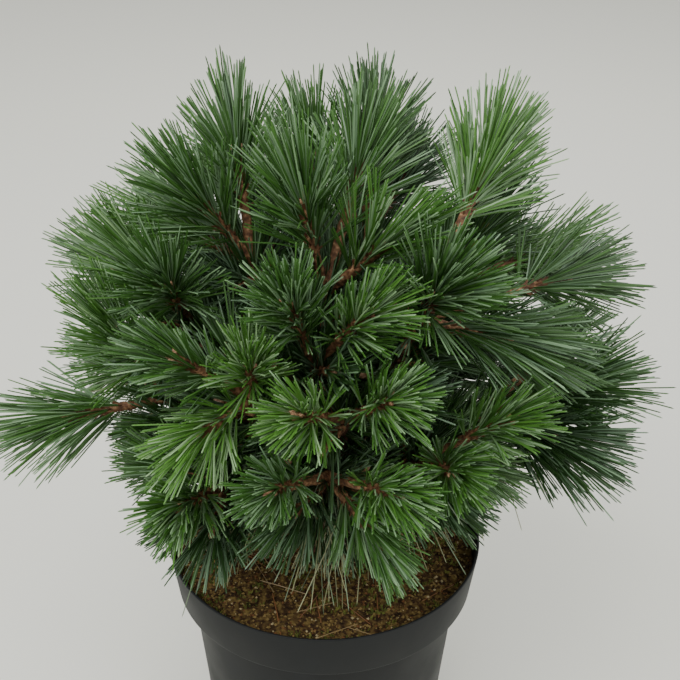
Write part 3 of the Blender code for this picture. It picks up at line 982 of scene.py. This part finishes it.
def band_radius(height):
    """The outer radius of the band."""
    share = 1 - (POT_HEIGHT - height) / BAND_HEIGHT
    return BAND_FOOT_RADIUS + (POT_RIM_RADIUS - BAND_FOOT_RADIUS) * share


def arc(radius, height, size, first, last, steps=5):
    """Points of a rounded corner round a centre, from one angle to another in degrees."""
    found = []
    for angle in np.radians(np.linspace(first, last, steps)):
        found.append((radius + size * math.cos(angle), height + size * math.sin(angle)))
    return found


def make_pot(plastic):
    """The pot: its profile from the underside up the wall, over the lip and down inside."""
    band_foot = POT_HEIGHT - BAND_HEIGHT
    ledge = band_foot + POT_WALL
    profile = [(POT_BASE_RADIUS - FOOT_CHAMFER, 0)]
    profile += arc(wall_radius(FOOT_CHAMFER) - FOOT_CHAMFER, FOOT_CHAMFER, FOOT_CHAMFER, -70, 0)
    profile += [(wall_radius(band_foot), band_foot)]
    profile += arc(
        band_radius(band_foot) - BAND_ROUNDING, band_foot + BAND_ROUNDING, BAND_ROUNDING, -90, 0, 7
    )
    profile += arc(POT_RIM_RADIUS - LIP, POT_HEIGHT - LIP, LIP, 0, 180, 9)
    profile += [
        (band_radius(ledge) - POT_WALL, ledge),
        (wall_radius(ledge) - POT_WALL, ledge),
        (wall_radius(POT_FLOOR) - POT_WALL, POT_FLOOR),
    ]
    pot = extruded("pot", [((0, 0, height), radius) for radius, height in profile], POT_SIDES)
    pot.name = "moulded_pot"
    for i in range(DRAIN_HOLES):
        spot = Vector(place(360 * i / DRAIN_HOLES, DRAIN_OUT / MM, 0))
        deselect()
        bpy.ops.mesh.primitive_cylinder_add(
            vertices=DRAIN_SIDES, radius=DRAIN_RADIUS, depth=4 * POT_FLOOR, location=spot
        )
        cutter = bpy.context.object
        hole = pot.modifiers.new("drain", "BOOLEAN")
        hole.operation = "DIFFERENCE"
        hole.object = cutter
        apply_modifiers(pot)
        bpy.data.objects.remove(cutter, do_unlink=True)
    pot.data.materials.append(plastic)
    pot.data.shade_smooth()
    pot.data.set_sharp_from_angle(angle=SHARP_FROM)
    return pot


def soil_height(x, y):
    """The soil's top at a place, with its lumps."""
    out = math.hypot(x, y) / POT_RIM_RADIUS
    level = SOIL_CROWN + (SOIL_EDGE - SOIL_CROWN) * out**2
    lumps = noise.fractal(Vector((x, y, 0)) / SOIL_LUMP, *SOIL_OCTAVES)
    return level + SOIL_RELIEF * max(-1, min(HIGHEST_LUMP, lumps))


def make_soil(compost):
    """A closed body: the lumpy top, then a plain wall and foot that the pot hides."""
    outer = band_radius(SOIL_EDGE) - POT_WALL - SOIL_GAP
    points = [(0, 0, soil_height(0, 0))]
    for i in range(1, SOIL_RINGS + 1):
        radius = outer * i / SOIL_RINGS
        for j in range(SOIL_SPOKES):
            angle = 2 * math.pi * j / SOIL_SPOKES
            x, y = radius * math.cos(angle), radius * math.sin(angle)
            points.append((x, y, soil_height(x, y)))
    foot, ledge = POT_FLOOR + SOIL_GAP, POT_HEIGHT - BAND_HEIGHT
    lower_rings = (
        (outer * LEDGE_SHARE, ledge + LEDGE_RISE),
        (wall_radius(ledge) - POT_WALL - HIDDEN_GAP, ledge),
        (wall_radius(foot) - POT_WALL - HIDDEN_GAP, foot),
    )
    for radius, height in lower_rings:
        for j in range(SOIL_SPOKES):
            angle = 2 * math.pi * j / SOIL_SPOKES
            points.append((radius * math.cos(angle), radius * math.sin(angle), height))
    points.append((0, 0, foot))
    rings = SOIL_RINGS + len(lower_rings)
    faces = []
    for j in range(SOIL_SPOKES):
        k = (j + 1) % SOIL_SPOKES
        faces.append((0, 1 + j, 1 + k))
        for i in range(rings - 1):
            a, b = 1 + i * SOIL_SPOKES, 1 + (i + 1) * SOIL_SPOKES
            faces += [(a + j, b + j, b + k), (a + j, b + k, a + k)]
        last = 1 + (rings - 1) * SOIL_SPOKES
        faces.append((last + j, len(points) - 1, last + k))
    heap = Heap()
    heap.add(np.array(points), np.array(faces))
    return heap.piece("compost", [compost])


def on_soil(rng, lift):
    """A random spot on the soil, clear of the trunk."""
    outer = band_radius(SOIL_EDGE) - POT_WALL - POT_CLEARANCE
    radius = math.sqrt(rng.uniform(CLEAR_OF_TRUNK, 1)) * outer
    angle = rng.uniform(0, 2 * math.pi)
    x, y = radius * math.cos(angle), radius * math.sin(angle)
    return np.array([x, y, soil_height(x, y) + lift])


def crumb_shape(rng):
    """An uneven grain: an octahedron whose corners are pulled about."""
    corners = [(1, 0, 0), (-1, 0, 0), (0, 1, 0), (0, -1, 0), (0, 0, 1), (0, 0, -1)]
    shape = np.array(corners, float) * rng.uniform(*CRUMB_SIZES)
    shape = shape * rng.uniform(*CRUMB_STRETCH, (6, 1))
    return shape + rng.normal(0, CRUMB_UNEVENNESS, (6, 3))


def make_crumbs(finishes, rng):
    """Loose crumbs of compost, grit and pale mineral granules."""
    heap = Heap()
    for _ in range(CRUMBS):
        kind = int(rng.choice(len(CRUMB_SHARES), p=CRUMB_SHARES))
        shape = crumb_shape(rng)
        heap.add(shape + on_soil(rng, CRUMB_LIFT), CRUMB_FACES, kind)
    return heap.piece("soil_crumbs", finishes, smooth=False)


def make_moss(moss, rng):
    """Low moss, in patches of short upright tufts."""
    heap = Heap()
    radii = np.repeat(MOSS_RADII[:, None], MOSS_SIDES, axis=1)
    for _ in range(MOSS_SPOTS):
        spot = on_soil(rng, 0)
        if noise.noise(Vector(spot * LEVEL) / MOSS_PATCH) < BARE_BELOW:
            continue
        for _ in range(MOSS_STEMS):
            root = spot + rng.normal(0, MOSS_SPREAD, 3) * LEVEL
            lean = unit(UP + rng.normal(0, MOSS_LEAN, 3))
            rise = MOSS_RINGS * rng.uniform(*MOSS_HEIGHTS) * MM
            tube(heap, root + lean * rise[:, None], radii, MOSS_SIDES)
    return heap.piece("moss", [moss], smooth=False)


def make_litter(finishes, rng):
    """Fallen needles that lie on the soil, inside the band."""
    roots = np.array([on_soil(rng, LITTER_LIFT) for _ in range(LITTER)])
    turn = rng.uniform(0, 2 * math.pi, LITTER)
    tilt = rng.uniform(*LITTER_TILT, LITTER)
    direction = np.stack([np.cos(turn), np.sin(turn), tilt], axis=1)
    length = rng.uniform(*LITTER_LENGTHS, LITTER) * MM
    ends = roots + direction * length[:, None]
    keep = np.linalg.norm(ends[:, :2], axis=1) < POT_RIM_RADIUS - POT_WALL - POT_CLEARANCE
    bow = rng.normal(0, LITTER_BOW, roots.shape) * length[:, None]
    shapes = needle_shapes(roots, unit(direction), length, bow, turn, OLD_NEEDLE_WIDTH)[keep]
    return needle_piece("fallen_needles", shapes, finishes, two_tones(shapes))


def make_hanging(shoots, finishes, rng):
    """Faded older needles that hang from the lowest wood over the soil."""
    low = [shoot for shoot in shoots if shoot.foot[2] < LOW_CROWN]
    roots = []
    for _ in range(HANGING):
        shoot = low[int(rng.integers(len(low)))]
        roots.append(shoot.foot + (shoot.bud - shoot.foot) * rng.uniform(0, HANGING_FROM))
    roots = np.array(roots)
    outward = unit(roots * LEVEL)
    scatter = rng.normal(0, HANGING_SCATTER, roots.shape)
    direction = unit(outward * HANGING_OUT - UP + scatter)
    length = NEEDLE_LENGTH * rng.uniform(*HANGING_LENGTHS, HANGING)
    bow = rng.normal(0, HANGING_BOW, roots.shape) * length[:, None]
    keep = np.full(HANGING, True)
    for at in HANGING_TESTS:
        points = roots + direction * length[:, None] * at + bow * at**2
        keep &= clear_of_pot(points, SOIL_RELIEF)
    roll = rng.uniform(0, 2 * math.pi, HANGING)
    shapes = needle_shapes(roots, direction, length, bow, roll, OLD_NEEDLE_WIDTH)[keep]
    return needle_piece("needles_hanging", shapes, finishes, two_tones(shapes))


# Room

def make_room():
    """A plain pale floor, soft studio light and the photograph's viewing angle."""
    deselect()
    bpy.ops.mesh.primitive_plane_add(size=FLOOR_SIZE, location=(0, 0, 0))
    floor = bpy.context.object
    floor.name = "floor"
    matt = {"Base Color": linear(FLOOR_COLOUR), "Roughness": 0.9}
    floor.data.materials.append(finish("pale_floor", matt)[0])
    for name, spot, size, power in LAMPS:
        lamp = bpy.data.lights.new(name, "AREA")
        lamp.size = size
        lamp.energy = power
        obj = bpy.data.objects.new(name, lamp)
        obj.location = spot
        obj.rotation_euler = (Vector(spot) - LIT_POINT).to_track_quat("Z", "Y").to_euler()
        bpy.context.scene.collection.objects.link(obj)
    world = bpy.data.worlds.new("room")
    world.use_nodes = True
    sky = world.node_tree.nodes["Background"].inputs
    sky["Color"].default_value = linear(WORLD_COLOUR)
    sky["Strength"].default_value = WORLD_STRENGTH
    bpy.context.scene.world = world
    camera = bpy.data.cameras.new("camera")
    camera.lens = LENS
    camera.sensor_width = SENSOR
    obj = bpy.data.objects.new("camera", camera)
    pitch = Matrix.Rotation(math.pi / 2 - CAMERA_PITCH, 4, "X")
    roll = Matrix.Rotation(CAMERA_ROLL, 4, "Z")
    obj.matrix_world = Matrix.Translation(CAMERA_PLACE) @ pitch @ roll
    bpy.context.scene.collection.objects.link(obj)
    bpy.context.scene.camera = obj


def main():
    """Finishes, limbs and pieces, each with the nodes it replaces and its body."""
    rng = np.random.default_rng(SEED)
    bark = bark_finish()
    young = twig_finish()
    brown = [(0.32, "#251a10"), (0.46, "#43311e"), (0.58, "#63502d"), (0.73, "#7f6c3d")]
    compost = earth_finish("peat_compost", brown, 4 * MM)
    grit = [
        earth_finish("peat_crumb", [(0.3, "#2a1c14"), (0.7, "#4a3525")], 3 * MM),
        earth_finish("ochre_grit", [(0.3, "#6d5a35"), (0.7, "#8b7648")], 3 * MM),
        earth_finish("bark_chip", [(0.3, "#5a3a24"), (0.7, "#7d5636")], 3 * MM),
        earth_finish("pale_granule", [(0.3, "#948563"), (0.7, "#b5a67e")], 3 * MM),
    ]
    moss = earth_finish("moss", [(0.3, "#3c4420"), (0.5, "#59602c"), (0.75, "#7c7a3c")], 6 * MM)
    straw = [needle_finish("dry_needle", "#8a5a36"), needle_finish("faded_needle", "#97805a")]

    boughs = {name: Bough(height, whorl) for name, (height, whorl, _) in MASSES.items()}
    longer = main_shoots(boughs)
    shoots = longer + fine_shoots(boughs, longer, rng)
    masses = ["mass_" + name for name in MASSES]

    trunk = make_trunk(bark)
    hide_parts("trunk")
    limbs = make_boughs(boughs, bark)
    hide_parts(*["bough_" + name for name in MASSES])
    twigs = make_twigs(shoots, young)
    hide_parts(*masses)
    wood = [trunk, limbs, twigs, make_buds(shoots, bud_finish())]
    sheath = needle_finish("needle_sheath", "#6b4932")
    needles = make_needles(shoots + old_wood(boughs), longer, sheath, rng)
    faded = [needle_finish("old_needle", "#65755a"), needle_finish("yellowing_needle", "#7b7d5a")]
    needles.append(make_hanging(shoots, faded, rng))
    for piece in needles:
        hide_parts(*masses)
    pot = make_pot(plastic_finish())
    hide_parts("pot")
    soil = make_soil(compost)
    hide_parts("soil")
    ground = [soil, make_crumbs(grit, rng), make_moss(moss, rng), make_litter(straw, rng)]

    for slot, pieces in (
        ("pine_bark", wood),
        ("pine_needles", needles),
        ("pot_plastic", [pot]),
        ("potting_soil", ground),
    ):
        for piece in pieces:
            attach(piece, "root")
    make_room()


main()
